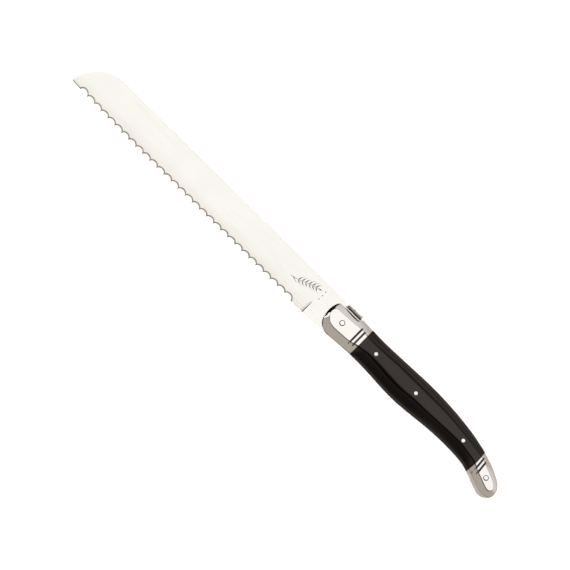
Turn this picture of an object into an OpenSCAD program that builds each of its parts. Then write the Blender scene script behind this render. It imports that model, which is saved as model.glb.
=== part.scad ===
// Bread knife: one full-tang blade, two riveted black scales, two pairs of polished bolsters.
// The knife lies on the flats of its right side. X runs from the tip to the butt, Y towards the
// spine and Z up. The origin is the centre of the footprint on the resting plane.
// Inside the modules, the origin is the front bolster pin at the middle of the blade's thickness.

/* [Blade] */
// Distance from the front bolster pin to the tip
blade_reach = 202.5; // [196:0.5:208]
// Thickness of the blade and tang
blade_t = 2.0; // [1.6:0.1:2.4]
// Height of the spine above the pin axis
spine_y = 10.0; // [9.5:0.1:10.4]
// Size of the rounded fall of the spine to the tip
tip_round = 19; // [17:0.5:19]
// Exponent of the tip curve: 2 is an ellipse, less is flatter
tip_exponent = 1.7; // [1.5:0.1:2]
// Height below the pin axis where the grind starts
grind_top = 2.8; // [2:0.1:4]
// Thickness left at the edge
edge_t = 0.85; // [0.6:0.05:1.2]
// Distance from the pin to the start of the grind
plunge_x = 20.1; // [16:0.1:24]

/* [Scallops] */
// Number of scallops in the edge
scallop_count = 30; // [24:1:30]
// Distance from one cusp to the next
scallop_pitch = 5.54; // [5.2:0.02:5.54]
// Distance from the pin to the last cusp at the heel
scallop_heel = 29.4; // [28:0.2:32]
// Radius of each scallop
scallop_r = 2.8; // [2.8:0.05:4]
// Width of the bevel ground along the scallops on the left side
bevel_w = 0.85; // [0.5:0.05:1.2]
// Width of the bevel on the plain edge between the tip and the first scallop
tip_bevel_w = 0.75; // [0.5:0.05:1.2]

/* [Handle] */
// Overall thickness of the handle over its flats
handle_t = 12.0; // [11:0.5:14]
// Diameter of the front bolster pin
front_pin_d = 3; // [2.5:0.1:4]
// Diameter of the rear bolster pin
rear_pin_d = 2.8; // [2.5:0.1:4]
// Diameter of the three scale pins
scale_pin_d = 2.5; // [2:0.1:3]
// Radius of the cross grooves in the bolsters
groove_r = 0.6; // [0.4:0.05:0.7]

/* [Spine plate] */
// Width of the plate across the spine
plate_w = 7.0; // [5:0.5:9]
// Length of the plate along the spine
plate_l = 10.8; // [9:0.2:11]

/* [Hidden] */

$fn = 96;
tang_half = blade_t / 2;
half_t = handle_t / 2;
clear = 2;

// Stations around the handle's outline: outer edge x, y, flat's edge x, y, height of the side wall.
// The four runs follow each other: nose, top of the scale, butt, belly of the scale.
nose_run = [
    [15.1, -9.55, 15.1, -2.55, 2.2], [10.5, -9.8, 10.5, -4, 2.2], [5, -10.1, 5, -4.5, 2.2],
    [0, -10.5, 0, -4.75, 2.3], [-2.9, -10.55, -2.6, -4.7, 2.4], [-5.8, -9.75, -4.6, -4.3, 2.7],
    [-8.2, -7.95, -6.3, -3.3, 3.1], [-9.85, -5.2, -7.7, -1.8, 3.5],
    [-10.45, -2.1, -8.6, -0.4, 3.8], [-10.6, 1, -8.75, 1.2, 3.9], [-10.05, 4.3, -8.2, 2.7, 3.8],
    [-8.8, 6.75, -6.9, 3.7, 3.6], [-6.8, 7.45, -5.2, 3.85, 3.5], [-2, 7.5, -2, 4, 3.5],
    [3, 7.5, 3, 4.3, 3.5], [5.9, 7.65, 5.9, 4.5, 3.5], [7, 9.1, 7.5, 4.75, 2.9],
    [7.9, 9.45, 8.7, 4.85, 2.7], [11, 9.4, 11, 5, 2.5], [15.1, 9.2, 15.1, 4.2, 2.4]];
top_run = [
    [23, 8.92, 23, 3.8, 2.3], [31, 9.07, 31, 4, 2.3], [40, 9.37, 40, 4.4, 2.3],
    [49, 9.7, 49, 4.4, 2.3], [57, 9.97, 57, 4.4, 2.3], [65, 9.97, 65, 4.4, 2.3],
    [74, 9.6, 74, 4.5, 2.3], [84, 8.8, 84, 4, 2.3], [94, 7.54, 94, 3, 2.3],
    [99, 6.57, 99, 2.5, 2.3]];
butt_run = [
    [104, 5.5, 104, 1.7, 2.3], [110, 3.98, 109.6, 0.9, 2.3], [115, 2.2, 114, -0.9, 2.4],
    [119.5, 0.15, 118, -2.4, 2.6], [122.6, -1.55, 121.2, -3.8, 2.9],
    [125.4, -3.65, 123.4, -5.35, 3.1], [127.05, -6.1, 124.5, -6.7, 3.2],
    [127.5, -8.6, 124.55, -7.7, 3.2], [127.2, -11.1, 124.1, -8.6, 3.1],
    [125.5, -13.45, 123.2, -9.1, 2.9], [122.7, -14.8, 121.8, -9.05, 2.7],
    [119.7, -15, 119.6, -8.35, 2.5], [116, -13.85, 116, -6.95, 2.3],
    [111, -11.95, 111, -5.1, 2.3], [106.5, -10.15, 106.5, -2.8, 2.2]];
belly_run = [
    [101.5, -8.9, 101.5, -1.8, 2.2], [94, -8.28, 94, -0.8, 2.2], [84, -8.17, 84, -0.85, 2.2],
    [74, -8.66, 74, -1.18, 2.2], [65, -9.53, 65, -1.45, 2.2], [57, -10.23, 57, -1.65, 2.2],
    [49, -10.63, 49, -2.2, 2.2], [40, -10.4, 40, -1.9, 2.2], [31, -9.83, 31, -1.4, 2.2],
    [23, -9.5, 23, -1.4, 2.2]];
outline = concat(nose_run, top_run, butt_run, belly_run);

// Places in the outline, counted in stations
top_joint = len(nose_run) - 1;
butt_first = len(nose_run) + len(top_run);
butt_last = butt_first + len(butt_run) - 1;
station_steps = 3;

// Slope between the side wall and the flat: share of its width, share of its rise
slope_profile = [[0, 0], [0.06, 0.27], [0.25, 0.5], [0.85, 0.94], [1, 1]];

// Blade edge: the line of the cusps from tip to heel
tip_edge_y = -9.35;
cusp_line = [[-202.5, tip_edge_y], [-195.6, -9.8], [-190, -10.75], [-179, -11.3],
             [-165, -11.6], [-150, -11.8], [-90, -11.8], [-45, -11.7], [-20, -11.25]];
tip_steps = 16;
first_cusp = -scallop_heel - scallop_count * scallop_pitch;
scallop_drop = sqrt(scallop_r ^ 2 - (scallop_pitch / 2) ^ 2);
grind_fall = (tang_half - edge_t / 2) / (-cusp_line[5][1] - grind_top);
ricasso_bottom = [[-plunge_x, -11.15], [-12, -11.15], [-7, -10.95], [-3.5, -10.65]];
ricasso_end_step = 4 * station_steps;
notch = [[-7.4, spine_y], [-6.35, 8.65], [-5.4, 8], [6.4, 8]];
tang_top_step = 17 * station_steps;

// Pins: positions of their axes
front_pin = [0, 0];
rear_pin = [117.6, -5.15];
scale_pins = [[25.6, 0.95], [56.7, 1], [94, 0.75]];

// Cross grooves: middle and tilt from the Y axis
front_grooves = [[10.35, 0.8, 0], [12.75, 0.8, 0]];
rear_grooves = [[109.5, -1.8, 5.5], [111.8, -2.4, 5.5]];
groove_l = 16;

// Curved joint between scale and rear bolster
joint_r = 54;
joint_x = 107.85;
joint_y = -2.6;

// Spine plate: its side outline on the tang's notch
plate_x = -4.6;
plate_floor = notch[3][1];
plate_top = 10.95;

// The box around the knife, which sets the origin
tip_x = -blade_reach;
butt_x = 127.5;
box_top = plate_top;
box_bottom = -15.08;
mid_x = (tip_x + butt_x) / 2;
mid_y = (box_top + box_bottom) / 2;

// Closed smooth curve through the stations of the outline, at station i and share u of the next step
function around(i) = outline[(i + len(outline)) % len(outline)];
function blend(a, b, c, d, u) =
    0.5 * (2 * b + (c - a) * u + (2 * a - 5 * b + 4 * c - d) * u ^ 2 + (3 * b - a - 3 * c + d) * u ^ 3);
function station(i, u) = blend(around(i - 1), around(i), around(i + 1), around(i + 2), u);
function stations(from, to) =
    [for (k = [from * station_steps : to * station_steps])
        station(floor(k / station_steps), (k % station_steps) / station_steps)];

// Straight runs between the points of a line, read at x
function line_y(points, x, i = 0) =
    i < len(points) - 2 && x > points[i + 1][0] ? line_y(points, x, i + 1) :
    points[i][1] + (x - points[i][0]) * (points[i + 1][1] - points[i][1])
        / (points[i + 1][0] - points[i][0]);

// A flat face over a closed run of n points, as a ladder from both ends to the middle
function ladder(n) = concat(
    [for (i = [0 : floor((n - 1) / 2) - 1]) [i, n - 2 - i, n - 1 - i]],
    [for (i = [0 : floor(n / 2) - 2]) [i, i + 1, n - 2 - i]]);

// Half of the handle between two runs of stations: rings from the tang up to the flat
function ring(run, share, rise) =
    [for (s = run) [s[0] + share * (s[2] - s[0]), s[1] + share * (s[3] - s[1]),
                    rise < 0 ? tang_half : s[4] + rise * (half_t - s[4])]];

module half_form(run) {
    rings = concat([ring(run, 0, -1)], [for (p = slope_profile) ring(run, p[0], p[1])]);
    n = len(run);
    points = [for (r = rings) for (p = r) p];
    sides = [for (r = [0 : len(rings) - 2]) for (i = [0 : n - 1])
        let (a = r * n + i, b = r * n + (i + 1) % n)
            each [[a, b, b + n], [a, b + n, a + n]]];
    tang_face = [for (t = ladder(n)) [t[2], t[1], t[0]]];
    flat_face = [for (t = ladder(n)) t + [1, 1, 1] * (len(rings) - 1) * n];
    polyhedron(points, concat(sides, tang_face, flat_face), convexity = 6);
}

module at_pin(place, d) {
    translate([place[0], place[1], -half_t - clear])
        cylinder(d = d, h = handle_t + 2 * clear);
}

module grooves(places) {
    for (g = places)
        translate([g[0], g[1], half_t])
            rotate([90, 0, g[2]])
                cylinder(r = groove_r, h = groove_l, center = true, $fn = 32);
}

// Everything on the blade's side of the curved joint
module joint_disc() {
    translate([joint_x - joint_r, joint_y, -half_t - clear])
        cylinder(r = joint_r, h = handle_t + 2 * clear, $fn = 240);
}

// Blade
function tip_curve() =
    [for (k = [0 : tip_steps])
        let (a = 90 + 90 * k / tip_steps)
            [tip_x + tip_round * (1 - abs(cos(a)) ^ (2 / tip_exponent)),
             tip_edge_y + (spine_y - tip_edge_y) * sin(a) ^ (2 / tip_exponent)]];

// Along the edge the outline runs just below the cusps, where the scallops cut it off
function edge_points(spare = 0.3) =
    concat([[first_cusp, line_y(cusp_line, first_cusp)]],
           [for (p = cusp_line)
               if (p[0] > first_cusp + 1 && p[0] < -scallop_heel - 1) p - [0, spare]],
           [[-scallop_heel, line_y(cusp_line, -scallop_heel)]]);

module blade_outline() {
    tang = [for (s = stations(0, len(outline))) [s[0], s[1]]];
    polygon(concat(
        [for (i = [len(tip_curve()) - 1 : -1 : 0]) tip_curve()[i]],
        notch,
        [for (i = [tang_top_step : len(tang) - 2]) tang[i]],
        [for (i = [0 : ricasso_end_step]) tang[i]],
        [for (i = [len(ricasso_bottom) - 1 : -1 : 0]) ricasso_bottom[i]],
        [for (i = [len(edge_points()) - 1 : -1 : 0]) edge_points()[i]]));
}

module grind() {
    reach = blade_reach - plunge_x + clear;
    drop = 4;
    for (side = [0, 1])
        mirror([0, 0, side])
            translate([-plunge_x - reach, 0, 0])
                rotate([90, 0, 90])
                    linear_extrude(reach)
                        polygon([[-grind_top, tang_half],
                                 [-grind_top, tang_half + clear],
                                 [cusp_line[5][1] - drop, tang_half + clear],
                                 [cusp_line[5][1] - drop,
                                  edge_t / 2 - drop * grind_fall]]);
}

module scallops() {
    over = 0.5;
    slope = bevel_w / edge_t;
    for (i = [0 : scallop_count - 1]) {
        x = first_cusp + (i + 0.5) * scallop_pitch;
        translate([x, line_y(cusp_line, x) - scallop_drop, -edge_t / 2 - over])
            cylinder(r1 = scallop_r - over * slope, r2 = scallop_r + bevel_w + over * slope,
                     h = edge_t + 2 * over, $fn = 64);
    }
}

module tip_bevel() {
    over = 1;
    slope = edge_t / tip_bevel_w;
    run = first_cusp - tip_x;
    rise = line_y(cusp_line, first_cusp) - tip_edge_y;
    top = tang_half + clear;
    translate([tip_x, tip_edge_y, 0])
        rotate([0, 0, atan(rise / run)])
            translate([-over, 0, 0])
                rotate([90, 0, 90])
                    linear_extrude(run + over)
                        polygon([[-over, -edge_t / 2 - over * slope], [-over, top],
                                 [(top + edge_t / 2) / slope, top]]);
}

module blade() {
    color("whitesmoke")
        difference() {
            translate([0, 0, -tang_half])
                linear_extrude(blade_t)
                    blade_outline();
            grind();
            scallops();
            tip_bevel();
            at_pin(front_pin, front_pin_d);
            at_pin(rear_pin, rear_pin_d);
            for (p = scale_pins)
                at_pin(p, scale_pin_d);
        }
}

// Left halves; the right ones are their mirror images
module front_bolster() {
    color("silver")
        difference() {
            half_form(stations(0, top_joint));
            at_pin(front_pin, front_pin_d);
            grooves(front_grooves);
        }
}

module scale_half() {
    color([0.13, 0.12, 0.11])
        difference() {
            intersection() {
                half_form(concat(stations(top_joint, butt_first + 1),
                                 stations(butt_last - 1, len(outline))));
                joint_disc();
            }
            for (p = scale_pins)
                at_pin(p, scale_pin_d);
        }
}

module rear_bolster() {
    color("silver")
        difference() {
            half_form(stations(butt_first, butt_last));
            joint_disc();
            at_pin(rear_pin, rear_pin_d);
            grooves(rear_grooves);
        }
}

module pin(place, d) {
    color("gainsboro")
        translate([place[0], place[1], -half_t])
            cylinder(d = d, h = handle_t);
}

module spine_plate() {
    crown = 0.4;
    end = plate_x + plate_l;
    color("silver")
        translate([0, 0, -plate_w / 2])
            linear_extrude(plate_w)
                polygon([[plate_x, plate_floor], [end, plate_floor], [end, plate_top],
                         [end - 0.8, plate_top], [end - 1.6, plate_top - crown],
                         [1.6, plate_top - crown], [0.9, plate_top], [-0.3, plate_top],
                         [-1, plate_top - crown], [plate_x + 0.6, plate_top - crown],
                         [plate_x, plate_top - 3 * crown]]);
}

// Puts a piece into the knife's own frame; side is 0 for the left half and 1 for the right one
module place(side = 0) {
    translate([-mid_x, -mid_y, half_t])
        mirror([0, 0, side])
            children();
}

place() blade();
place() front_bolster();  // left_front_bolster
place(1) front_bolster();  // right_front_bolster
place() scale_half();  // left_scale
place(1) scale_half();  // right_scale
place() rear_bolster();  // left_rear_bolster
place(1) rear_bolster();  // right_rear_bolster
place() spine_plate();
place() pin(front_pin, front_pin_d);  // front_bolster_pin
place() pin(scale_pins[0], scale_pin_d);  // scale_pin_front
place() pin(scale_pins[1], scale_pin_d);  // scale_pin_middle
place() pin(scale_pins[2], scale_pin_d);  // scale_pin_rear
place() pin(rear_pin, rear_pin_d);  // rear_bolster_pin
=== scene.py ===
"""Bread knife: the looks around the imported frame.

Sizes below are in millimetres in the knife's own plan: x runs from the front bolster pin towards
the butt, y towards the spine, and z out of the left side, from the middle of the blade's thickness.
"""

import math

import bmesh
import bpy
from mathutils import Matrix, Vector


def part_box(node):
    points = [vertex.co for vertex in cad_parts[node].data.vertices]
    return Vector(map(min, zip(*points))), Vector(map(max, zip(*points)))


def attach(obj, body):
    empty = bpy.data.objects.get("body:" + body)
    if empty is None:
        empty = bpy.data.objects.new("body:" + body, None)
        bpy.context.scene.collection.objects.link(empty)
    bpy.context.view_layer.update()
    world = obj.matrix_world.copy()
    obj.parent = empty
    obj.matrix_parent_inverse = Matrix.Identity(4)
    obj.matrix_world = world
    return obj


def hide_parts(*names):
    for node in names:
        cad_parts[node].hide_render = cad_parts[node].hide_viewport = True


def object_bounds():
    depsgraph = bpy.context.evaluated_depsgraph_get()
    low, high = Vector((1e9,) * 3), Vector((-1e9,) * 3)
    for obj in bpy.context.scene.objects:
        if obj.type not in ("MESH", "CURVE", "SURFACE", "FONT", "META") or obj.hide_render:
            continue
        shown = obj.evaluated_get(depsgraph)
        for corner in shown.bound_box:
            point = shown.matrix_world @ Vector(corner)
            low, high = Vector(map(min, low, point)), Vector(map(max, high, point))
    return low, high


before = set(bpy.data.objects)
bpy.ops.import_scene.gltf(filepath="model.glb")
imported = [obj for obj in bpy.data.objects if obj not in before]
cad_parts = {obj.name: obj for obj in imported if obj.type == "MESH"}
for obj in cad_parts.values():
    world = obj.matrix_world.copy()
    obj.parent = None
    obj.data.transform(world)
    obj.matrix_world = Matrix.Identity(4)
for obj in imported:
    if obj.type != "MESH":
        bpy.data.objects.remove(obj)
cad_low, cad_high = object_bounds()

MM = 0.001
LEFT, RIGHT = 1, -1
ROUND_STEPS = 48

# Distances in metres below which points are one point, and edges and faces are nothing
DOUBLED, NO_AREA = 2e-6, 1e-7

# Origin of the plan, half the handle's and half the blade's thickness
pin_low, pin_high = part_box("front_bolster_pin")
blade_low, blade_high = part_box("blade")
ORIGIN = (pin_low + pin_high) / 2
HALF = (pin_high.z - pin_low.z) / 2 / MM
TANG = (blade_high.z - blade_low.z) / 2 / MM


def in_plan(point):
    """A point of the frame, in metres, as millimetres in the knife's plan."""
    return (point - ORIGIN) / MM


def pin_place(name):
    """Centre of a pin in the plan, and its radius."""
    low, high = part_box(name)
    return (in_plan(low) + in_plan(high)) / 2, (high.x - low.x) / 2 / MM


SCALE_PINS = ["scale_pin_front", "scale_pin_middle", "scale_pin_rear"]
PINS = {name: pin_place(name) for name in ["front_bolster_pin", *SCALE_PINS, "rear_bolster_pin"]}

# Ends of the blade and of the spine plate
TIP_X = in_plan(blade_low).x
SPINE_Y = in_plan(blade_high).y
PLATE_X0, PLATE_Y0, _ = in_plan(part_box("spine_plate")[0])
PLATE_X1, PLATE_Y1, PLATE_Z = in_plan(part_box("spine_plate")[1])

# ---------------------------------------------------------------------------------------------
# Outline of the handle. Each station: outer edge x, y, edge of the flat x, y, tilt of the slope
# between them in degrees, width and tilt of the steeper band along its outer edge, the rounding
# at the outer edge, and the width of the lip where the flat starts to fall away.

NOSE = [
    (15.1, -9.55, 15.1, -2.55, 23.5, 1.3, 25, 0.5, 0.9),
    (10.5, -9.8, 10.5, -4.0, 22.5, 1.3, 24.5, 0.15, 0.5),
    (5, -10.1, 5, -4.5, 22.5, 1.2, 24.5, 0.15, 0.4),
    (0, -10.5, 0, -4.75, 22.5, 1.1, 24.5, 0.15, 0.4),
    (-2.9, -10.55, -2.6, -4.7, 22.5, 0.6, 30, 0.15, 0.4),
    (-5.8, -9.75, -4.6, -4.3, 22, 0.5, 40, 0.2, 0.3),
    (-8.2, -7.95, -6.3, -3.3, 21.5, 0.7, 40.5, 0.15, 0.25),
    (-9.85, -5.2, -7.7, -1.8, 20.5, 0.6, 37, 0.15, 0.2),
    (-10.45, -2.1, -8.6, -0.4, 34, 0.7, 37, 0.15, 0.2),
    (-10.6, 1, -8.75, 1.2, 39, 0.9, 41, 0.15, 0.2),
    (-10.05, 4.3, -8.2, 2.7, 27, 1.2, 39, 0.15, 0.2),
    (-8.8, 6.75, -6.9, 3.7, 24, 0.8, 40, 0.15, 0.2),
    (-6.8, 7.45, -5.2, 3.85, 23, 0.5, 37, 0.3, 0.2),
    (-2, 7.5, -2, 4.0, 23, 0.85, 41, 0.15, 0.2),
    (3, 7.5, 3, 4.3, 23, 1.1, 42, 0.15, 0.2),
    (5.9, 7.65, 5.9, 4.5, 23, 0.8, 41, 0.15, 0.2),
    (7.0, 9.1, 7.5, 4.75, 25, 0.4, 32, 0.35, 0.25),
    (7.9, 9.45, 8.7, 4.85, 25.5, 0.4, 30, 0.4, 0.3),
    (11, 9.4, 11, 5.0, 26, 0.5, 30, 0.5, 0.4),
    (15.1, 9.2, 15.1, 4.2, 26.5, 0.7, 30, 0.7, 0.9),
]
TOP = [
    (23, 8.92, 23, 3.8, 26, 1.3, 34, 0.9, 1.3),
    (31, 9.07, 31, 4.0, 25.5, 1.5, 34.5, 1, 1.6),
    (40, 9.37, 40, 4.4, 25.5, 1.5, 34.5, 1, 1.8),
    (49, 9.7, 49, 4.4, 25.5, 1.5, 34.5, 1, 1.8),
    (57, 9.97, 57, 4.4, 25.5, 1.5, 34.5, 1, 1.8),
    (65, 9.97, 65, 4.4, 25.5, 1.5, 34.5, 1, 1.8),
    (74, 9.6, 74, 4.5, 25.5, 1.5, 34.5, 1, 1.6),
    (84, 8.8, 84, 4.0, 25.5, 1.5, 34.5, 1, 1.35),
    (94, 7.54, 94, 3.0, 25.5, 1.5, 34.5, 1, 1.15),
    (99, 6.57, 99, 2.5, 25.5, 1.3, 34.5, 0.9, 1.0),
]
BUTT = [
    (104, 5.5, 104, 1.7, 25.5, 1, 33, 0.7, 0.9),
    (110, 3.98, 109.6, 0.9, 25, 0.5, 30, 0.5, 0.4),
    (115, 2.2, 114, -0.9, 25, 0.5, 30, 0.4, 0.3),
    (119.5, 0.15, 118, -2.4, 24.5, 0.5, 30, 0.4, 0.3),
    (122.6, -1.55, 121.2, -3.8, 24, 0.5, 29, 0.4, 0.2),
    (125.4, -3.65, 123.4, -5.35, 23.5, 0.5, 27, 0.4, 0.2),
    (127.05, -6.1, 124.5, -6.7, 23, 0.3, 27, 0.4, 0.2),
    (127.48, -8.6, 124.55, -7.7, 22.5, 0.2, 30, 0.35, 0.25),
    (127.2, -11.1, 124.1, -8.6, 21.5, 0.3, 32, 0.35, 0.35),
    (125.5, -13.45, 123.2, -9.1, 21, 1.2, 33.5, 0.4, 0.45),
    (122.7, -14.8, 121.8, -9.05, 21, 2.1, 34, 0.15, 0.45),
    (119.7, -15.0, 119.6, -8.35, 21, 2.4, 34.5, 0.1, 0.45),
    (116, -13.85, 116, -6.95, 21, 2.5, 34, 0.1, 0.45),
    (111, -11.95, 111, -5.1, 21.5, 2.4, 32.5, 0.1, 0.5),
    (106.5, -10.15, 106.5, -2.8, 24.5, 2, 33.5, 0.15, 0.8),
]
BELLY = [
    (101.5, -8.9, 101.5, -1.8, 29, 1.7, 38, 0.9, 0.9),
    (94, -8.28, 94, -0.8, 30.5, 1.6, 38.5, 1, 1.15),
    (84, -8.17, 84, -0.85, 31, 1.6, 38.5, 1, 1.25),
    (74, -8.66, 74, -1.18, 31, 1.6, 38.5, 1, 1.3),
    (65, -9.53, 65, -1.45, 30.5, 1.6, 38.5, 1, 1.5),
    (57, -10.23, 57, -1.65, 30, 1.6, 38.5, 1, 1.4),
    (49, -10.63, 49, -2.2, 30, 1.6, 38.5, 1, 1.75),
    (40, -10.4, 40, -1.9, 30, 1.6, 38.5, 1, 2.3),
    (31, -9.83, 31, -1.4, 30, 1.6, 38.5, 1, 1.9),
    (23, -9.5, 23, -1.4, 29, 1.6, 38, 0.9, 1.2),
    (19, -9.5, 19, -1.95, 29, 1.5, 36, 0.85, 1.05),
]
OUTLINE = NOSE + TOP + BUTT + BELLY
FRONT_JOINT = NOSE[0][0]

# Stretches of the outline, as places counted in stations from the start of OUTLINE
NOSE_TIP = 9
BUTT_TIP = 37
NOSE_BOTTOM = (0, 5)
NOSE_TOP = (12.5, 19)
SCALE_TOP = (19, 32)
SCALE_BOTTOM = (43, 56)
REAR_TOP = (29, 34)
REAR_BOTTOM = (40, 46)
TANG_TOP = (17, 33)

# How the slope bulges in degrees, the tilt at the end of its lip, and the radii of its corners
SWELL = 1
LIP_TILT, LIP_CORNER, SHOULDER_CORNER = 15.5, 0.2, 0.2

# Curved joint between the scale and the rear bolster
JOINT_X, JOINT_Y, JOINT_R = 107.85, -2.6, 54

# Cross grooves: half width, depth, x of each at the height GROOVE_Y, and how x falls with y
GROOVE_W, GROOVE_DEEP = 0.6, 0.45
FRONT_GROOVES, FRONT_LEAN = (10.35, 12.75), 0
REAR_GROOVES, REAR_LEAN = (109.53, 111.77), 0.096
GROOVE_Y = -2.1

# Blade: the curve at its tip, and the line of the cusps along its edge
TIP_ROUND, TIP_POWER = 19, 1.7
TIP_EDGE_Y = -9.35
CUSP_LINE = [(-202.5, TIP_EDGE_Y), (-195.6, -9.8), (-190, -10.75), (-179, -11.3), (-165, -11.6),
             (-150, -11.8), (-90, -11.8), (-45, -11.7), (-20, -11.25)]
CUSP_DEEPEST = min(y for _, y in CUSP_LINE)

# Grind: where it starts, how deep it gets at the edge, how hollow it is, the plunge line that ends
# it with its radius, and how far the wheel has dug in there
GRIND_TOP, GRIND_DROP, GRIND_POWER = -2.8, 0.575, 1.55
PLUNGE_X, PLUNGE_R = -20.1, 1.0
DIG, DIG_FADE, DIG_RISE = 0.22, 2.6, 2.5

# Edge: scallops and their bevel, the ricasso below the bolster, and the notch for the spine plate
SCALLOPS, PITCH, SCALLOP_R = 30, 5.54, 2.8
LAST_CUSP = -29.4
FIRST_CUSP = LAST_CUSP - SCALLOPS * PITCH
BEVEL_W, TIP_BEVEL_W = 0.85, 0.75
RICASSO = [(PLUNGE_X, -11.15), (-12, -11.15), (-7, -10.95), (-3.5, -10.65)]
NOTCH = [(-7.4, 10.0), (-6.35, 8.65), (-5.4, 8.0), (6.4, 8.0), (7.9, 9.45)]
CHAMFER = 0.15
SCALLOP_DROP = math.sqrt(SCALLOP_R ** 2 - (PITCH / 2) ** 2)


# ---------------------------------------------------------------------------------------------
# Small helpers


def mix(a, b, t):
    """The number at share t of the way from a to b."""
    return a + (b - a) * t


def station(place):
    """The outline's station at a place, counted in stations round the closed outline."""
    i = math.floor(place)
    u = place - i
    a, b, c, d = (OUTLINE[(i + k) % len(OUTLINE)] for k in (-1, 0, 1, 2))
    return [
        0.5 * (2 * q + (r - p) * u + (2 * p - 5 * q + 4 * r - s) * u * u
               + (3 * q - p - 3 * r + s) * u ** 3)
        for p, q, r, s in zip(a, b, c, d)
    ]


def crossing(stretch, line, first):
    """Where the outline's edge (first 0) or its flat's edge (first 2) meets the line x = line(y)."""
    def past(place):
        s = station(place)
        return s[first] - line(s[first + 1])

    low, high = stretch
    rising = past(high) > past(low)
    halvings = 40
    for _ in range(halvings):
        middle = (low + high) / 2
        if (past(middle) > 0) == rising:
            high = middle
        else:
            low = middle
    return (low + high) / 2


def polyline_y(points, x):
    """Height at x of the line through points in order of x."""
    for (x0, y0), (x1, y1) in zip(points, points[1:]):
        if x <= x1:
            break
    return y0 + (x - x0) * (y1 - y0) / (x1 - x0)


def bezier(a, b, c, steps):
    """Points from a to c on the quadratic curve pulled towards b."""
    out = []
    for k in range(steps + 1):
        t = k / steps
        out.append(tuple((1 - t) ** 2 * p + 2 * t * (1 - t) * q + t * t * r
                         for p, q, r in zip(a, b, c)))
    return out


def piece(name, verts, faces, side=LEFT):
    """A new mesh object from points in the plan; the right side is the left one mirrored."""
    mesh = bpy.data.meshes.new(name)
    points = [ORIGIN + Vector((x, y, z * side)) * MM for x, y, z in verts]
    if side == RIGHT:
        faces = [tuple(reversed(f)) for f in faces]
    mesh.from_pydata(points, [], faces)
    obj = bpy.data.objects.new(name, mesh)
    bpy.context.scene.collection.objects.link(obj)
    return obj


def clean(obj, angle=30):
    """Merges doubled points, drops faces of no area, and shades smooth between sharp edges."""
    bm = bmesh.new()
    bm.from_mesh(obj.data)
    bmesh.ops.remove_doubles(bm, verts=bm.verts, dist=DOUBLED)
    bmesh.ops.dissolve_degenerate(bm, edges=bm.edges, dist=NO_AREA)
    bmesh.ops.recalc_face_normals(bm, faces=bm.faces)
    bm.to_mesh(obj.data)
    bm.free()
    obj.data.shade_smooth()
    obj.data.set_sharp_from_angle(angle=math.radians(angle))
    return obj


# ---------------------------------------------------------------------------------------------
# Handle halves: columns across the handle, each from the belly over the flat to the spine


def rounded(corners, radii, steps):
    """The line through the corners, with each inner corner rounded off.

    A rounding takes at most the share `most` of each line beside it.
    """
    most = 0.45
    out = [corners[0]]
    for before, here, after, radius, count in zip(corners, corners[1:], corners[2:], radii, steps):
        ends = []
        for other in (before, after):
            length = math.dist(here, other)
            reach = min(radius, most * length) / length
            ends.append(tuple(mix(p, q, reach) for p, q in zip(here, other)))
        out += bezier(ends[0], here, ends[1], count)
    return out


def slope(s):
    """Points from the tang up to the flat, on the line from the outer edge to the flat's edge.

    The slope swells slightly: its inner half is flatter than its outer half. The lip takes its
    last stretch, with a gradual fall from the flat and a crisper corner towards the slope.
    """
    ox, oy, fx, fy, tilt, band, band_tilt, edge_round, lip = s
    width = math.hypot(fx - ox, fy - oy)
    ux, uy = (fx - ox) / width, (fy - oy) / width
    most_band = 0.55
    band = min(band, most_band * width)
    half = (width - band - lip) / 2
    brink = HALF - lip * math.tan(math.radians(LIP_TILT))
    swell = brink - half * math.tan(math.radians(tilt - SWELL))
    shoulder = swell - half * math.tan(math.radians(tilt + SWELL))
    edge = shoulder - band * math.tan(math.radians(band_tilt))
    corners = [(0, TANG), (0, edge), (band, shoulder), (band + half, swell), (width - lip, brink),
               (width, HALF)]
    radii, steps, lip_steps = (edge_round, SHOULDER_CORNER, half, LIP_CORNER), (6, 4, 4, 4), 8
    profile = rounded(corners, radii, steps)
    profile += bezier(profile[-1], (width, HALF), (width + lip, HALF), lip_steps)[1:]
    return [(ox + ux * d, oy + uy * d, z) for d, z in profile]


def column(bottom, top, flat_steps=12):
    """One column of points from the belly's tang line over the flat to the spine's tang line."""
    up, down = slope(bottom), slope(top)
    a, b = up[-1], down[-1]
    flat = [tuple(mix(p, q, k / flat_steps) for p, q in zip(a, b)) for k in range(1, flat_steps)]
    return up + flat + down[::-1]


def column_on(line, bottom, top):
    """The column whose points lie on x = line(y), between two stretches of the outline."""
    ends = []
    for stretch in (bottom, top):
        outer = station(crossing(stretch, line, 0))
        inner = station(crossing(stretch, line, 2))
        ends.append(outer[:2] + inner[2:4] + outer[4:])
    return column(*ends)


def groove_floor(x, y, grooves, lean):
    """Height of the round floor of the cross groove at x, y; the flat's height outside them."""
    for groove in grooves:
        off = (x - groove + (y - GROOVE_Y) * lean) / GROOVE_W
        if abs(off) < 1:
            return HALF - GROOVE_DEEP * math.sqrt(1 - off * off)
    return HALF


def cut_grooves(columns, grooves, lean):
    """Lowers the points that lie in a cross groove to its floor."""
    return [[(x, y, min(z, groove_floor(x, y, grooves, lean))) for x, y, z in points]
            for points in columns]


def in_groove(grooves, lean):
    """A test for the points that lie on a groove's floor; their faces get the dark second material,
    painted shade.
    """
    deep_enough, near = 0.05, 0.06

    def test(x, y, z):
        floor_z = groove_floor(x, y, grooves, lean)
        return floor_z < HALF - deep_enough and abs(z - floor_z) < near

    return test


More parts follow.
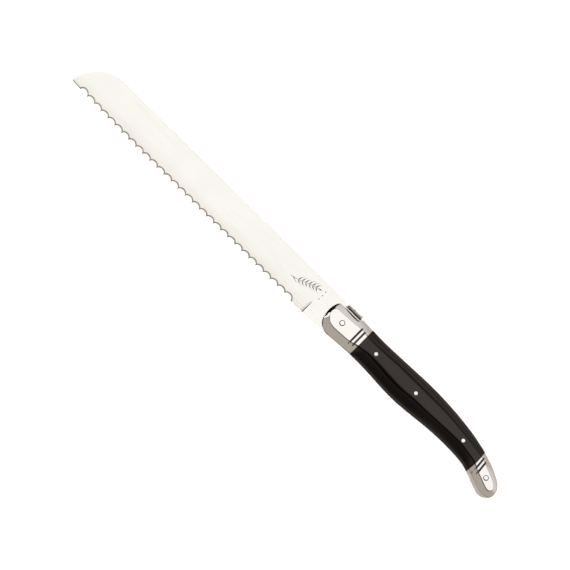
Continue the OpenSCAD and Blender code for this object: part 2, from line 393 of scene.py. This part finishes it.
def shell(name, columns, side, marked=None):
    """A closed solid from columns that all have the same number of points.

    Faces whose middle the test `marked` picks get the object's second material.
    """
    rows = len(columns[0])
    verts = [p for col in columns for p in col]
    faces = []
    for i in range(len(columns) - 1):
        for j in range(rows):
            a, b = i * rows + j, i * rows + (j + 1) % rows
            faces.append((a, b, b + rows, a + rows))
    faces.append(tuple(range(rows)))
    last = (len(columns) - 1) * rows
    faces.append(tuple(last + j for j in range(rows - 1, -1, -1)))
    obj = piece(name, verts, faces, side)
    if marked:
        for face in obj.data.polygons:
            corners = [verts[i] for i in face.vertices]
            middle = [sum(c) / len(corners) for c in zip(*corners)]
            face.material_index = int(marked(*middle))
    return clean(obj)


def lathe(profile, centre):
    """Points and faces of a solid turned about an axis along z, from (radius, z) pairs."""
    verts, faces = [], []
    steps = ROUND_STEPS
    for r, z in profile:
        for k in range(steps):
            a = 2 * math.pi * k / steps
            verts.append((centre.x + r * math.cos(a), centre.y + r * math.sin(a), z))
    for i in range(len(profile) - 1):
        for k in range(steps):
            a, b = i * steps + k, i * steps + (k + 1) % steps
            faces.append((a, b, b + steps, a + steps))
    faces.append(tuple(range(steps - 1, -1, -1)))
    last = (len(profile) - 1) * steps
    faces.append(tuple(last + k for k in range(steps)))
    return verts, faces


def sink_pins(obj, pins, side):
    """Cuts a shallow seat around each pin into a handle half, with a broken edge.

    The faces of the seat get the half's second material, on the bolsters a steel darkened as painted
    shade.
    """
    gap, rim, depth = 0.12, 0.06, 0.5
    for name in pins:
        centre, radius = PINS[name]
        r = radius + gap
        above = HALF + 1
        profile = [(r, HALF - depth), (r, HALF - rim), (r + rim, HALF), (r + rim, above)]
        cutter = piece(name + "_seat", *lathe(profile, centre), side)
        clean(cutter)
        for face in cutter.data.polygons:
            face.material_index = 1
        cut = obj.modifiers.new("seat", "BOOLEAN")
        cut.operation, cut.solver, cut.object = "DIFFERENCE", "EXACT", cutter
        depsgraph = bpy.context.evaluated_depsgraph_get()
        mesh = bpy.data.meshes.new_from_object(obj.evaluated_get(depsgraph))
        obj.modifiers.clear()
        obj.data = mesh
        bpy.data.objects.remove(cutter)
    return clean(obj)


def groove_columns(x):
    """Places across one groove, close together at its steep sides."""
    step = 15
    return [x + GROOVE_W * math.sin(math.radians(a)) for a in range(-90, 91, step)]


def front_bolster(name, side):
    """Columns that fan out from the nose's tip, then parallel ones up to the joint."""
    columns = []
    fan, fan_end = 26, -3
    bottom = crossing(NOSE_BOTTOM, lambda y: fan_end, 0)
    top = crossing(NOSE_TOP, lambda y: fan_end, 0)
    for k in range(fan):
        t = k / fan
        columns.append(column(station(mix(NOSE_TIP, bottom, t)), station(mix(NOSE_TIP, top, t))))
    count, pitch = 21, 0.6
    places = [fan_end + pitch * k for k in range(count)]
    places = [x for x in places if x < FRONT_GROOVES[0] - GROOVE_W]
    for groove in FRONT_GROOVES:
        places += groove_columns(groove)
    past_grooves = [13.7, 14.2, 14.7]
    places += past_grooves + [FRONT_JOINT]
    for x in places:
        columns.append(column_on(lambda y: x, NOSE_BOTTOM, NOSE_TOP))
    grooves = FRONT_GROOVES, FRONT_LEAN
    half = shell(name, cut_grooves(columns, *grooves), side, in_groove(*grooves))
    return sink_pins(half, ["front_bolster_pin"], side)


def joint_bow(y):
    """How far the rear joint falls back from its middle at height y."""
    return math.sqrt(JOINT_R ** 2 - (y - JOINT_Y) ** 2) - JOINT_R


def scale(name, side):
    """Columns between the two joints, which take up the rear joint's curve near the end."""
    columns = []
    steps, curved_length = 120, 12
    for k in range(steps + 1):
        x = mix(FRONT_JOINT, JOINT_X, k / steps)
        bow = max(0, 1 - (JOINT_X - x) / curved_length)
        columns.append(column_on(lambda y: x + bow * joint_bow(y), SCALE_BOTTOM, SCALE_TOP))
    return sink_pins(shell(name, columns, side), SCALE_PINS, side)


def rear_bolster(name, side):
    """Columns from the curved joint over the leaning grooves, then a fan to the butt's tip."""
    near_joint, past_grooves = [108.1, 108.35, 108.6, 108.8], [112.6, 113]
    places = [JOINT_X] + near_joint
    for groove in REAR_GROOVES:
        places += groove_columns(groove)
    places += past_grooves
    columns = []
    for x in places:
        leaning = min(1, x - JOINT_X)

        def line(y):
            return x + (1 - leaning) * joint_bow(y) - leaning * REAR_LEAN * (y - GROOVE_Y)

        columns.append(column_on(line, REAR_BOTTOM, REAR_TOP))
    starts = [[crossing(stretch, line, k) for k in (0, 2)] for stretch in (REAR_BOTTOM, REAR_TOP)]
    fan = 40
    for k in range(1, fan + 1):
        ends = []
        for start in starts:
            outer, inner = (station(mix(place, BUTT_TIP, k / fan)) for place in start)
            ends.append(outer[:2] + inner[2:4] + outer[4:])
        columns.append(column(*ends))
    grooves = REAR_GROOVES, REAR_LEAN
    half = shell(name, cut_grooves(columns, *grooves), side, in_groove(*grooves))
    return sink_pins(half, ["rear_bolster_pin"], side)


# ---------------------------------------------------------------------------------------------
# Blade with its tang


def grind_depth(x, y):
    """How far the ground face lies below the flat of the blade.

    It starts with a steep wall at the plunge line, where the wheel has dug in a little deeper.
    """
    before = PLUNGE_X - x
    if before <= 0 or y >= GRIND_TOP:
        return 0
    fall = (GRIND_TOP - y) / (GRIND_TOP - CUSP_DEEPEST)
    drop = GRIND_DROP * fall ** GRIND_POWER
    below = min(1, (GRIND_TOP - y) / DIG_RISE)
    drop += DIG * below * max(0, 1 - before / DIG_FADE) ** 2
    run = math.sqrt(2 * PLUNGE_R * drop - drop * drop)
    if before >= run:
        return drop
    return drop - PLUNGE_R + math.sqrt(PLUNGE_R ** 2 - (run - before) ** 2)


def scallop_offset(x):
    """Distance along x from the middle of the nearest scallop."""
    i = min(SCALLOPS - 1, max(0, math.floor((x - FIRST_CUSP) / PITCH)))
    return x - FIRST_CUSP - (i + 0.5) * PITCH


def arc_height(radius, x):
    """Height above the cusp line of a circle about the nearest scallop's middle."""
    inside = max(0, radius ** 2 - scallop_offset(x) ** 2)
    return math.sqrt(inside) - SCALLOP_DROP


def blade_limits(x):
    """Lowest y, top of the edge bevel, and highest y of the blade at x."""
    if x < PLUNGE_X:
        cusp = polyline_y(CUSP_LINE, x)
        scalloped = FIRST_CUSP < x < LAST_CUSP
        plain = TIP_BEVEL_W if x < FIRST_CUSP else 0
        low = cusp + (max(0, arc_height(SCALLOP_R, x)) if scalloped else 0)
        bevel = cusp + max(arc_height(SCALLOP_R + BEVEL_W, x), plain)
    elif x < RICASSO[-1][0]:
        low = bevel = polyline_y(RICASSO, x)
    else:
        stretch = NOSE_BOTTOM if x < FRONT_JOINT else SCALE_BOTTOM
        low = bevel = station(crossing(stretch, lambda y: x, 0))[1]
    if x < TIP_X + TIP_ROUND:
        reach = max(0, 1 - (x - TIP_X) / TIP_ROUND)
        high = TIP_EDGE_Y + (SPINE_Y - TIP_EDGE_Y) * (1 - reach ** TIP_POWER) ** (1 / TIP_POWER)
    elif x < NOTCH[0][0]:
        high = SPINE_Y
    elif x < NOTCH[-1][0]:
        high = polyline_y(NOTCH, x)
    else:
        high = station(crossing(TANG_TOP, lambda y: x, 0))[1]
    return low, max(low, bevel), high


def left_face(x, y, low):
    """Height of the blade's left face, with the ground bevels along the edge."""
    flat = TANG - grind_depth(x, y)
    if x >= PLUNGE_X:
        return flat
    right = -(TANG - grind_depth(x, low))
    thick = flat - right
    centre = polyline_y(CUSP_LINE, x) - SCALLOP_DROP
    away = math.hypot(scallop_offset(x), y - centre)
    share = (away - SCALLOP_R) / BEVEL_W
    if x < FIRST_CUSP:
        share = min(share, (y - low) / TIP_BEVEL_W)
    return right + thick * min(1, max(0, share))


def blade_rows(x, low, bevel, high):
    """Left and right heights of the blade on a ladder of y from the edge to the spine."""
    most_chamfer = 0.4
    chamfer = min(CHAMFER, most_chamfer * (high - low))
    top = high - chamfer
    start = min(max(GRIND_TOP, bevel), top)
    bevel_steps, grind_steps, flat_steps = 4, 10, 4
    ys = [mix(low, bevel, k / bevel_steps) for k in range(bevel_steps)]
    ys += [mix(bevel, start, k / grind_steps) for k in range(grind_steps)]
    ys += [mix(start, top, k / flat_steps) for k in range(flat_steps + 1)]
    left = [(x, y, left_face(x, y, low)) for y in ys]
    right = [(x, y, -(TANG - grind_depth(x, y))) for y in ys]
    edge = TANG - grind_depth(x, high) - chamfer
    return left + [(x, high, edge), (x, high, -edge)] + right[::-1]


def on_bevel(x, y, z):
    """Whether a point lies on the ground bevel of the cutting edge, which gets steel darkened as
    painted shade.
    """
    low, bevel, _ = blade_limits(x)
    near = 0.02
    right = -(TANG - grind_depth(x, low))
    return x < LAST_CUSP + BEVEL_W and y < bevel + near and z > right + near


def blade_columns():
    """Where the blade has its columns: close together at the tip, the scallops and the plunge."""
    tip_steps, per_scallop, plunge_steps, plunge_run = 36, 20, 16, 2.8
    xs = set()
    for k in range(tip_steps + 1):
        a = math.radians(90 * k / tip_steps)
        xs.add(TIP_X + TIP_ROUND * (1 - math.cos(a) ** (2 / TIP_POWER)))
    xs |= {FIRST_CUSP + PITCH * k / per_scallop for k in range(SCALLOPS * per_scallop + 1)}
    xs |= {PLUNGE_X - plunge_run * k / plunge_steps for k in range(plunge_steps + 1)}
    end_steps, end_pitch = 5, 0.3
    xs |= {LAST_CUSP + end_pitch * k for k in range(1, end_steps + 1)}
    xs |= {FIRST_CUSP - end_pitch * k for k in range(1, end_steps + 1)}
    past_plunge, ricasso = 0.02, {-16, -12, -9}
    xs |= {PLUNGE_X + past_plunge} | ricasso
    xs |= {p[0] for p in RICASSO + NOTCH}
    tang_start, tang_pitch, tang_steps = -3.4, 0.9, 124
    xs |= {tang_start + tang_pitch * k for k in range(tang_steps)}
    return sorted(x for x in xs if x <= JOINT_X)


def blade(name):
    """The blade with its tang: parallel columns, then a fan to the butt's tip."""
    columns, last, closest = [], -math.inf, 0.004
    for x in blade_columns():
        if x - last > closest:
            columns.append(blade_rows(x, *blade_limits(x)))
            last = x
    bottom = crossing(SCALE_BOTTOM, lambda y: last, 0)
    top = crossing(TANG_TOP, lambda y: last, 0)
    fan, least_span = 30, 1e-6
    for k in range(1, fan + 1):
        (x0, y0), (x1, y1) = (station(mix(s, BUTT_TIP, k / fan))[:2] for s in (bottom, top))
        span = max(y1 - y0, least_span)
        upright = blade_rows(PLUNGE_X, y0, y0, max(y0, y1))
        shares = [min(1, max(0, (y - y0) / span)) for _, y, _ in upright]
        columns.append([(mix(x0, x1, share), y, z) for share, (_, y, z) in zip(shares, upright)])
    return shell(name, columns, LEFT, on_bevel)


# ---------------------------------------------------------------------------------------------
# Pins, spine plate and ornament


def pin(name, piece_name):
    """A pin with slightly crowned, broken-edged ends, flush with both sides of the handle."""
    centre, bore = PINS[name]
    gap, rim, crown, sharp_angle = 0.1, 0.06, 0.008, 50
    radius, middle = bore - gap, 0.02
    end = [(middle, 0), (radius * 0.5, crown * 0.25), (radius - rim * 1.6, crown),
           (radius - rim * 0.5, crown + rim * 0.4), (radius, crown + rim * 1.5)]
    profile = [(r, drop - HALF) for r, drop in end] + [(r, HALF - drop) for r, drop in end[::-1]]
    return clean(piece(piece_name, *lathe(profile, centre)), sharp_angle)


def plate_top(x):
    """Height of the plate's back above its floor: low ribs, a boss in the middle, a raised heel.

    The front end falls away. Places along the plate run from 0 to 1.
    """
    rise = PLATE_Y1 - PLATE_Y0
    u = (x - PLATE_X0) / (PLATE_X1 - PLATE_X0)
    back = rise - 0.68
    rib_height, rib_pitch, rib_power = 0.26, 1.1, 0.7
    wave = 0.5 + 0.5 * math.cos(2 * math.pi * (x - PLATE_X0) / rib_pitch)
    ribs = rib_height * wave ** rib_power
    boss_height, boss_place, boss_width = 0.38, 0.44, 0.055
    boss = boss_height * math.exp(-((u - boss_place) / boss_width) ** 2)
    heel_height, heel_place, heel_steepness = 0.66, 0.93, 90
    heel = heel_height / (1 + math.exp(-(u - heel_place) * heel_steepness))
    fall, fall_length = 0.9, 0.06
    front = fall * max(0, fall_length - u) / fall_length
    return min(rise, back + ribs + boss + heel - front)


def spine_plate(name):
    """The ribbed plate: rings along it, narrow at both ends, with bulging sides and a round back."""
    steps, side_steps, round_steps = 90, 6, 14
    end_width, end_power, back_width = 0.35, 5, 0.25
    columns = []
    for k in range(steps + 1):
        u = k / steps
        x = mix(PLATE_X0, PLATE_X1, u)
        fullness = (1 - abs(2 * u - 1) ** end_power) ** 0.5
        half = mix(end_width, 1, fullness) * PLATE_Z
        top = plate_top(x)
        widest = min(1.2, top * 0.62)
        foot = min(TANG + 0.2, half)
        profile = [(0, foot)]
        profile += bezier((0.05, foot), (widest * 0.4, half), (widest, half), side_steps)
        profile += bezier((widest, half), (top, half), (top, back_width * half), round_steps)[1:]
        ring = [(x, PLATE_Y0 + y, z) for y, z in profile]
        ring += [(x, y, -z) for x, y, z in reversed(ring)]
        columns.append(ring)
    return shell(name, columns, LEFT)


def grain_shape(cx, cy, angle, length, width):
    """Outline of one grain: an oval, slimmer towards its outer end."""
    points = []
    steps, slimming = 14, 0.35
    for k in range(steps):
        t = 2 * math.pi * k / steps
        u, v = math.cos(t), math.sin(t)
        px, py = u * length / 2, v * width / 2 * (1 - slimming * u)
        points.append((cx + px * math.cos(angle) - py * math.sin(angle),
                       cy + px * math.sin(angle) + py * math.cos(angle)))
    return points


def stroke(x0, y0, x1, y1, w0, w1):
    """Outline of a straight tapered stroke."""
    length = math.hypot(x1 - x0, y1 - y0)
    nx, ny = -(y1 - y0) / length / 2, (x1 - x0) / length / 2
    return [(x0 + nx * w0, y0 + ny * w0), (x0 - nx * w0, y0 - ny * w0),
            (x1 - nx * w1, y1 - ny * w1), (x1 + nx * w1, y1 + ny * w1)]


def wheat_shapes():
    """Outlines of an ear of wheat: its stem, a leaf, pairs of grains with awns, and a last grain."""
    stem = [(-39.4, -1.0), (-36.5, -0.4), (-33.5, 0.6), (-30.5, 1.8), (-27.5, 3.0), (-24.5, 4.0),
            (-22.4, 4.5)]
    stem_width = 0.26
    shapes = [stroke(*p, *q, stem_width, stem_width) for p, q in zip(stem, stem[1:])]
    leaf_width, leaf_end = 0.5, 0.06
    shapes.append(stroke(-37.6, -0.7, -33.8, -1.9, leaf_width, leaf_end))
    first, pitch, pairs = -34.6, 2.0, 6
    grain_turn, grain_away, grain_length, grain_width = 0.85, 1.45, 2.3, 0.6
    awn_turn, awn_away, awn_length, awn_width, awn_end = 0.55, 1.1, 1.6, 0.14, 0.05
    for k in range(pairs):
        x = first + pitch * k
        y = polyline_y(stem, x)
        rise = math.atan2(polyline_y(stem, x + 1) - y, 1)
        for side in (1, -1):
            turn = rise + side * grain_turn
            cx, cy = x + grain_away * math.cos(turn), y + grain_away * math.sin(turn)
            shapes.append(grain_shape(cx, cy, turn, grain_length, grain_width))
            ax, ay = cx + awn_away * math.cos(turn), cy + awn_away * math.sin(turn)
            lean = rise + side * awn_turn
            bx, by = ax + awn_length * math.cos(lean), ay + awn_length * math.sin(lean)
            shapes.append(stroke(ax, ay, bx, by, awn_width, awn_end))
    shapes.append(grain_shape(-21.6, 4.7, 0.2, 2.0, 0.66))
    return shapes


def diamond_shapes():
    """Outlines of a column of small diamonds."""
    x, wide, high = -18.6, 0.25, 0.75
    return [[(x, y - high), (x + wide, y), (x, y + high), (x - wide, y)] for y in (0.4, 3.1, 5.8)]


def ornament(name):
    """An etched ear of wheat and a column of small diamonds, on the left face of the blade."""
    shapes = wheat_shapes() + diamond_shapes()
    verts, faces = [], []
    base, top = TANG - 0.01, TANG + 0.012
    for outline in shapes:
        start, n = len(verts), len(outline)
        verts += [(x, y, base) for x, y in outline] + [(x, y, top) for x, y in outline]
        faces.append(tuple(start + i for i in range(n - 1, -1, -1)))
        faces.append(tuple(start + n + i for i in range(n)))
        for i in range(n):
            j = (i + 1) % n
            faces.append((start + i, start + j, start + n + j, start + n + i))
    return clean(piece(name, verts, faces))


# ---------------------------------------------------------------------------------------------
# Node trees


class Graph:
    """Adds nodes to one node tree in short calls; in input names, _ stands for a blank."""

    def __init__(self, tree):
        self.tree = tree
        self.coords = self.add("ShaderNodeTexCoord")

    def add(self, kind, **inputs):
        node = self.tree.nodes.new(kind)
        for key, value in inputs.items():
            node.inputs[key.replace("_", " ")].default_value = value
        return node

    def link(self, a, b):
        self.tree.links.new(a, b)

    def ramp(self, source, stops, scale=1.0):
        """Eased colour ramp from (place, colour) stops; a single number is a grey."""
        node = self.add("ShaderNodeValToRGB")
        node.color_ramp.interpolation = "EASE"
        elements = node.color_ramp.elements
        while len(elements) < len(stops):
            elements.new(0.5)
        for element, (place, colour) in zip(elements, stops):
            if isinstance(colour, (int, float)):
                colour = (colour,) * 3
            element.position, element.color = place, (*(c * scale for c in colour), 1)
        self.link(source, node.inputs["Fac"])
        return node.outputs["Color"]

    def blend(self, kind, factor, a, b):
        """Mixes two colours by a number or by another node's output."""
        node = self.add("ShaderNodeMixRGB")
        node.blend_type = kind
        if isinstance(factor, (int, float)):
            node.inputs["Fac"].default_value = factor
        else:
            self.link(factor, node.inputs["Fac"])
        self.link(a, node.inputs["Color1"])
        self.link(b, node.inputs["Color2"])
        return node.outputs["Color"]


class Surface(Graph):
    """A material's node tree, with its shader and procedural patterns in object coordinates."""

    def __init__(self, name, **inputs):
        self.material = bpy.data.materials.new(name)
        self.material.use_nodes = True
        super().__init__(self.material.node_tree)
        self.shader = self.tree.nodes["Principled BSDF"]
        for key, value in inputs.items():
            self.shader.inputs[key.replace("_", " ")].default_value = value

    def noise(self, scale, detail=3):
        """Noise with a number of features per metre along x, y and z."""
        mapping = self.add("ShaderNodeMapping", Scale=scale)
        self.link(self.coords.outputs["Object"], mapping.inputs["Vector"])
        node = self.add("ShaderNodeTexNoise", Scale=1.0, Detail=detail)
        self.link(mapping.outputs["Vector"], node.inputs["Vector"])
        return node.outputs["Fac"]

    def drive(self, name, source, stops):
        """Sets one of the shader's inputs from a pattern, through a colour ramp."""
        self.link(self.ramp(source, stops), self.shader.inputs[name])

    def bump(self, height, strength, distance):
        """Bump from a pattern that is `distance` metres high."""
        node = self.add("ShaderNodeBump", Strength=strength, Distance=distance)
        self.link(height, node.inputs["Height"])
        self.link(node.outputs["Normal"], self.shader.inputs["Normal"])


def steel(name, tone, rough, spread, relief, grain=(60, 2600, 2600)):
    """Steel with fine brushing, soft clouding of its tone, and hairline scratches.

    Its roughness varies by `spread` of itself along the brushing, and `relief` is its bump.
    """
    s = Surface(name, Metallic=1.0)
    brushed = s.noise(grain, 4)
    clouds = s.noise((45, 45, 45), 2)
    hairlines = s.noise((25, 6500, 6500), 1)
    dull, bright = ([c * share for c in tone] for share in (0.98, 1.01))
    s.drive("Base Color", clouds, [(0.3, dull), (0.7, bright)])
    polish = s.ramp(brushed, [(0.3, rough * (1 - spread)), (0.7, rough * (1 + spread))])
    scratches = s.ramp(hairlines, [(0.7, 0.0), (0.76, 0.05)])
    s.link(s.blend("ADD", 1.0, polish, scratches), s.shader.inputs["Roughness"])
    brush_height = 0.00001
    s.bump(brushed, relief, brush_height)
    return s.material


def resin(name):
    """Black moulded resin polished to a gloss, with faint flow marks and warm reflections."""
    s = Surface(name, Specular_IOR_Level=0.35, Specular_Tint=(1.0, 0.86, 0.79, 1))
    flow = s.noise((30, 160, 160), 5)
    specks = s.noise((2600, 2600, 2600), 2)
    deepest, palest = (0.0008, 0.0007, 0.0006), (0.0018, 0.0015, 0.0013)
    s.drive("Base Color", flow, [(0.25, deepest), (0.8, palest)])
    s.drive("Roughness", specks, [(0.3, 0.08), (0.75, 0.14)])
    speck_strength, speck_height = 0.04, 0.00002
    s.bump(specks, speck_strength, speck_height)
    return s.material


# ---------------------------------------------------------------------------------------------
# Studio. The colours are those of the surroundings that the knife mirrors: the panel above it and
# its warmer edge, then on each side a light, a belt low down and the dimmer stretch between them.

CEILING = (1.593, 1.578, 1.547)
CEILING_EDGE = (1.53, 1.475, 1.43)
SPINE_LIGHT = (1.08, 1.02, 0.975)
SPINE_BELT = (1.5, 1.42, 1.36)
SPINE_LOW = (0.74, 0.68, 0.62)
BELLY_LIGHT = (0.67, 0.613, 0.53)
BELLY_LOW = (0.76, 0.7, 0.62)
BELLY_BELT = (1.3, 1.2, 1.08)
DARK = 0.02
WARM_SHADE = (0.5, 0.45, 0.39)


def around(degrees):
    """A level direction, turned from +x towards +y."""
    a = math.radians(degrees)
    return (math.cos(a), math.sin(a), 0)


def studio_world():
    """What the knife mirrors, by direction; the camera itself sees plain white.

    There is a bright ceiling panel, a pale light along the spine side, and a dimmer warm one
    along the belly side. Past the tip lie two dark corners, which overlap, and one narrow strip
    of light stands in them.
    """
    world = bpy.data.worlds.new("studio")
    bpy.context.scene.world = world
    world.use_nodes = True
    world.node_tree.nodes.clear()
    g = Graph(world.node_tree)
    peak = max(CEILING)
    direction = g.coords.outputs["Generated"]

    def towards(axis):
        """How far the direction points along an axis, from 0 for away to 1 for straight along."""
        dot = g.add("ShaderNodeVectorMath")
        dot.operation = "DOT_PRODUCT"
        dot.inputs[1].default_value = axis
        g.link(direction, dot.inputs[0])
        share = g.add("ShaderNodeMapRange", From_Min=-1.0)
        g.link(dot.outputs["Value"], share.inputs["Value"])
        return share.outputs["Result"]

    def by_height(stops):
        """Colours by the direction's z, from 0 for level to 1 for straight up."""
        return g.ramp(towards((0, 0, 1)), [(0.5 + z / 2, c) for z, c in stops], 1 / peak)

    spine_side = by_height([(0, DARK), (0.2, DARK), (0.28, SPINE_BELT), (0.42, SPINE_BELT),
                            (0.49, SPINE_LOW), (0.57, SPINE_LOW), (0.66, SPINE_LIGHT),
                            (0.8, SPINE_LIGHT), (0.85, 0.25), (0.9, 0.25), (0.968, CEILING)])
    belly_side = by_height([(0, DARK), (0.08, DARK), (0.14, BELLY_BELT), (0.2, BELLY_BELT),
                            (0.28, BELLY_LOW), (0.37, BELLY_LOW), (0.48, 0.14), (0.55, 0.2),
                            (0.63, BELLY_LIGHT), (0.77, BELLY_LIGHT), (0.8, DARK), (0.95, DARK),
                            (0.975, CEILING_EDGE), (0.998, CEILING_EDGE), (1, CEILING)])
    side = g.ramp(towards(around(90)), [(0.39, 0.0), (0.55, 1.0)])
    sky = g.blend("MIX", side, belly_side, spine_side)
    dark = g.ramp(towards(around(174)), [(0.8, 1.0), (0.84, WARM_SHADE), (0.875, DARK)])
    sky = g.blend("MULTIPLY", 1.0, sky, dark)
    second_dark = g.ramp(towards(around(211)), [(0.915, 1.0), (0.945, DARK)])
    sky = g.blend("MULTIPLY", 1.0, sky, second_dark)
    across = g.ramp(towards(around(113)), [(0.43, 0.0), (0.45, 1.0), (0.55, 1.0), (0.57, 0.0)])
    facing = g.ramp(towards(around(203)), [(0.8, 0.0), (0.84, 1.0)])
    strip = g.blend("MULTIPLY", 1.0, across, facing)
    height = by_height([(0.2, 0.0), (0.26, CEILING), (0.8, CEILING), (0.87, 0.0)])
    sky = g.blend("ADD", 1.0, sky, g.blend("MULTIPLY", 1.0, strip, height))

    studio = g.add("ShaderNodeBackground", Strength=peak)
    g.link(sky, studio.inputs["Color"])
    backdrop = g.add("ShaderNodeBackground", Color=(1, 1, 1, 1))
    seen = g.add("ShaderNodeLightPath")
    join = g.add("ShaderNodeMixShader")
    g.link(seen.outputs["Is Camera Ray"], join.inputs[0])
    g.link(studio.outputs[0], join.inputs[1])
    g.link(backdrop.outputs[0], join.inputs[2])
    out = g.add("ShaderNodeOutputWorld")
    g.link(join.outputs[0], out.inputs["Surface"])


def soft_light(name, place, size, power):
    """A large round light that aims at the frame's origin and isn't mirrored in the knife."""
    data = bpy.data.lights.new(name, "AREA")
    data.shape, data.size, data.energy = "DISK", size, power
    lamp = bpy.data.objects.new(name, data)
    lamp.location = place
    lamp.rotation_euler = (Vector(place) * -1).to_track_quat("-Z", "Y").to_euler()
    lamp.visible_glossy = False
    bpy.context.scene.collection.objects.link(lamp)


def floor():
    """A plain pale floor, a hair below the knife."""
    size, gap = 3.0, 0.00002
    z = cad_low.z - gap
    mesh = bpy.data.meshes.new("floor")
    corners = [(-size, -size, z), (size, -size, z), (size, size, z), (-size, size, z)]
    mesh.from_pydata(corners, [], [(0, 1, 2, 3)])
    obj = bpy.data.objects.new("floor", mesh)
    bpy.context.scene.collection.objects.link(obj)
    paper = Surface("floor_paper", Specular_IOR_Level=0.0)
    fibres = paper.noise((900, 900, 900), 3)
    paper.drive("Base Color", fibres, [(0.3, 0.91), (0.7, 0.93)])
    paper.drive("Roughness", fibres, [(0.3, 0.85), (0.7, 0.95)])
    mesh.materials.append(paper.material)


def camera():
    """Straight above the knife, turned so that the tip points to the upper left.

    The view is `width` metres wide at the level of the point `aim` in the plan.
    """
    turn, lens, width = 44.63, 400, 0.3178
    aim = Vector((-37.6, -7.3, 2.5))
    data = bpy.data.cameras.new("camera")
    data.lens = lens
    cam = bpy.data.objects.new("camera", data)
    distance = width * lens / data.sensor_width
    cam.location = ORIGIN + aim * MM + Vector((0, 0, distance))
    cam.rotation_euler = (0, 0, math.radians(turn))
    bpy.context.scene.collection.objects.link(cam)
    bpy.context.scene.camera = cam


# ---------------------------------------------------------------------------------------------
# Assembly

camera()
floor()
studio_world()
soft_light("overhead", place=(0, 0, 1.6), size=2.0, power=55)
bpy.context.scene.view_settings.view_transform = "Standard"

# Steels: tone, roughness, its spread, strength of the bump, and the grain where it isn't lengthwise
blade_steel = steel("blade_steel", (0.617, 0.606, 0.588), 0.16, 0.25, 0.06)
# Edge bevel: the rougher cross grain is the real grind finish; its dark tone is painted shade
ground_steel_painted_shade = steel("ground_steel_painted_shade", (0.16, 0.142, 0.123), 0.34, 0.25, 0.3, (2600, 200, 200))
bolster_steel = steel("bolster_steel", (0.605, 0.588, 0.579), 0.1, 0.3, 0.03)
# Groove floors and pin seats: steel darkened far below its own tone, painted shade in these recesses
recess_painted_shade_steel = steel("recess_painted_shade_steel", (0.09, 0.08, 0.07), 0.45, 0.2, 0.1)
# Spine plate: the bolsters' steel with its tone darkened all over, as painted shade
plate_steel_painted_shade = steel("plate_steel_painted_shade", (0.33, 0.305, 0.275), 0.22, 0.3, 0.1, (900, 900, 900))
pin_steel = steel("pin_steel", (0.64, 0.64, 0.635), 0.14, 0.2, 0.03)
etched_steel = steel("etched_steel", (0.2, 0.162, 0.125), 0.5, 0.15, 0.3)
black_resin = resin("black_resin")

# Each piece with the CAD node that it replaces, its slot, and its materials. The second material is
# for marked faces: bevels, grooves and seats of pins, where a darker steel paints shade on the blade
# and the bolsters. On the scales these are resin like the rest.
MADE = [
    (blade("knife_blade"), "blade", "blade_steel", (blade_steel, ground_steel_painted_shade)),
    (spine_plate("ribbed_spine_plate"), "spine_plate", "bolster_steel", (plate_steel_painted_shade,)),
]
for side, word in ((LEFT, "left"), (RIGHT, "right")):
    MADE += [
        (front_bolster(word + "_front_bolster_shell", side), word + "_front_bolster",
         "bolster_steel", (bolster_steel, recess_painted_shade_steel)),
        (scale(word + "_scale_shell", side), word + "_scale", "scale_black",
         (black_resin, black_resin)),
        (rear_bolster(word + "_rear_bolster_shell", side), word + "_rear_bolster",
         "bolster_steel", (bolster_steel, recess_painted_shade_steel)),
    ]
for name in PINS:
    MADE.append((pin(name, name + "_crowned"), name, "pin_steel", (pin_steel,)))
for obj, node, slot, materials in MADE:
    for material in materials:
        obj.data.materials.append(material)
    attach(obj, "root")
    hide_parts(node)

ear = ornament("etched_wheat_ear")
ear.data.materials.append(etched_steel)
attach(ear, "root")
